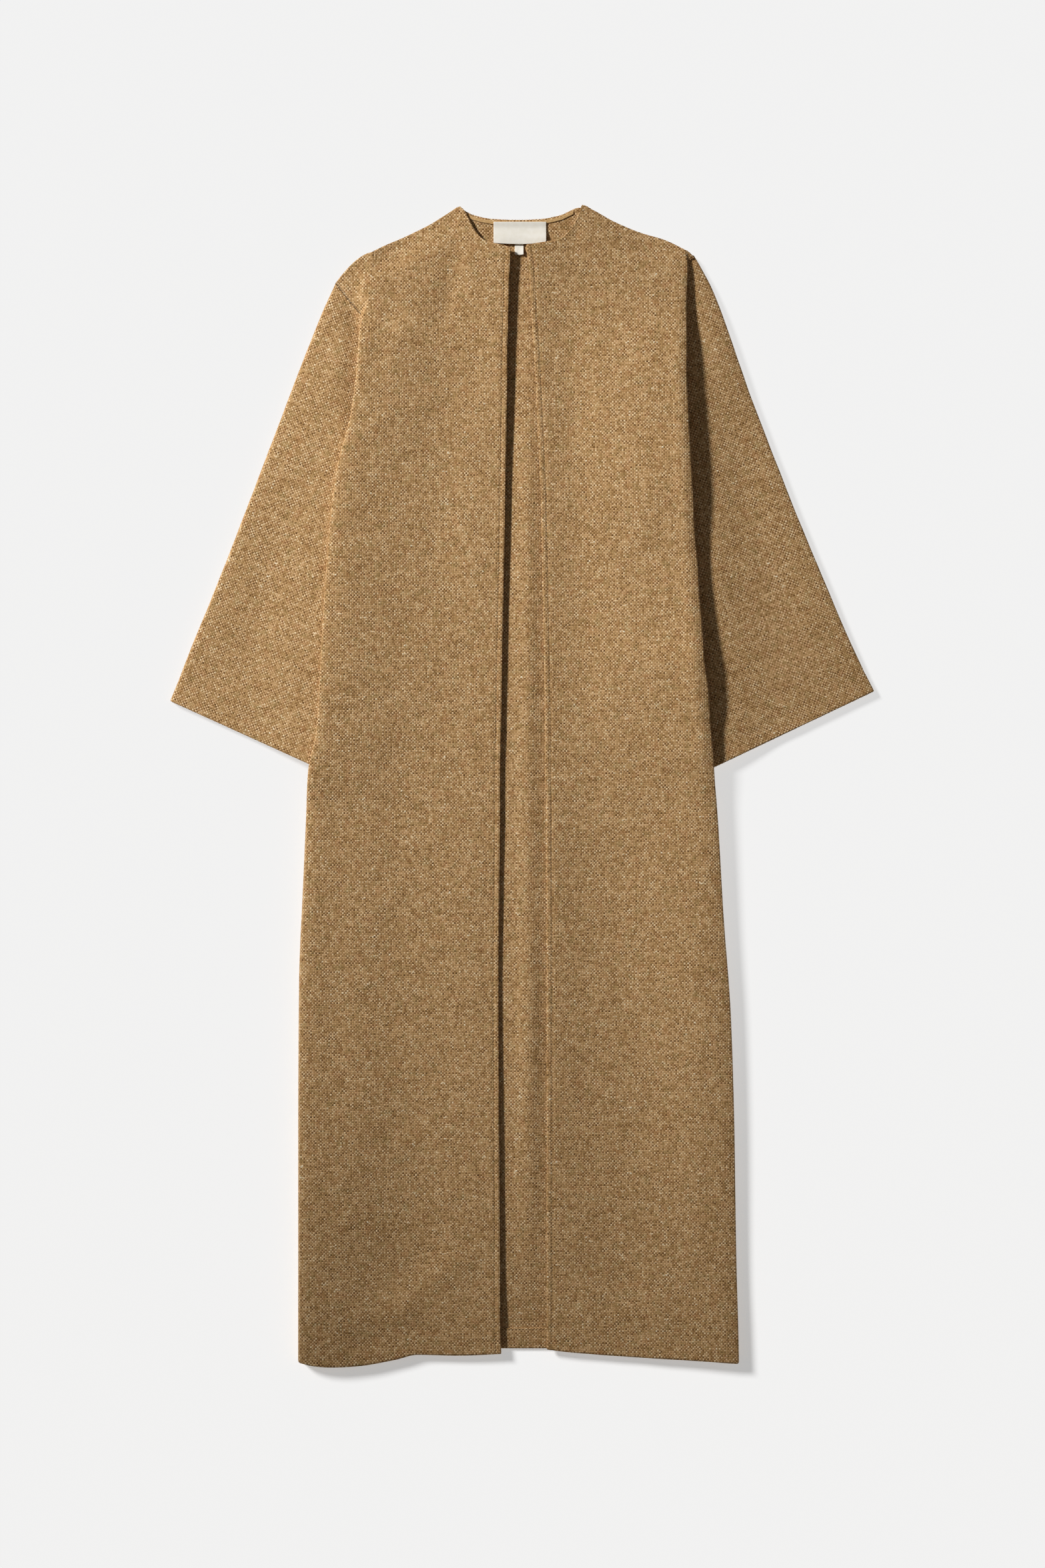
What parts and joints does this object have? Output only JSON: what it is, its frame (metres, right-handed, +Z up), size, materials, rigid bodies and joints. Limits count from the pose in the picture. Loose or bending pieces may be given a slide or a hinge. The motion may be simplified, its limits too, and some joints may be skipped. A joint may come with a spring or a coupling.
{
  "type": "abaya",
  "caption": "Long open-front abaya in chunky camel tweed with wide set-in sleeves, laid flat on its back.",
  "frame": {"origin": "on the table, under the middle of the laid garment's outline", "axes": "+Z up from the table, +Y from hem to neck, +X to the wearer's left"},
  "size_m": [0.862, 1.4212, 0.0364],
  "materials": {
    "tweed": "chunky plain-woven wool blend tweed, camel and brown yarns with cream slubs",
    "binding": "smooth tan bias binding",
    "label": "woven satin label, off-white, bare"
  },
  "bodies": {
    "root": {"back": "tweed", "back_hem_turn_up": "tweed", "front_right": "tweed", "front_left": "tweed", "sleeve_right": "tweed", "sleeve_left": "tweed", "neck_binding": "binding", "neck_label": "label", "size_tab": "label"}
  },
  "joints": []
}
